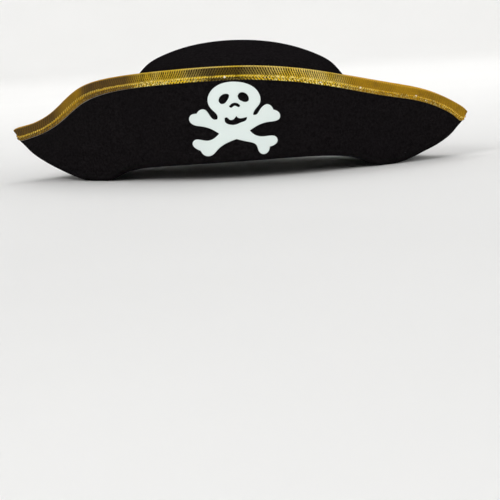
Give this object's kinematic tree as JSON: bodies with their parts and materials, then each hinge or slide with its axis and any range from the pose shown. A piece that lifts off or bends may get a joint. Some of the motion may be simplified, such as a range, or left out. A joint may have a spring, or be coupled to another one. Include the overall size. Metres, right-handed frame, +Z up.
{
  "type": "pirate hat",
  "caption": "Black felt pirate hat: oval crown in an upturned two-horned brim, gold braid along the edge, white skull and crossbones on the front flap.",
  "frame": {"origin": "middle of the hat seen from above, on the surface that it rests on", "axes": "+X from the left horn to the right horn as a person facing the skull sees them, +Y from the front flap to the back flap, +Z up towards the top of the crown"},
  "size_m": [0.342, 0.2092, 0.0961],
  "materials": {
    "black_felt": "matt, short felted fibres",
    "black_ribbon": "ribbed ribbon, slight sheen",
    "black_thread": "twisted thread",
    "gold_braid": "woven metallic yarn over a dark ground",
    "gold_thread": "metallic thread",
    "white_emblem": "smooth matt white"
  },
  "bodies": {
    "root": {"crown": "black_felt", "brim": "black_felt", "sweatband": "black_ribbon", "sweatband_thread": "black_thread", "head_seam_thread": "black_thread", "gold_braid": "gold_braid", "braid_thread": "gold_thread", "skull_crossbones_emblem": "white_emblem", "front_tack_left": "black_thread", "front_tack_right": "black_thread", "back_tack_left": "black_thread", "back_tack_right": "black_thread", "horn_tack_left": "black_thread", "horn_tack_right": "black_thread"}
  },
  "joints": []
}
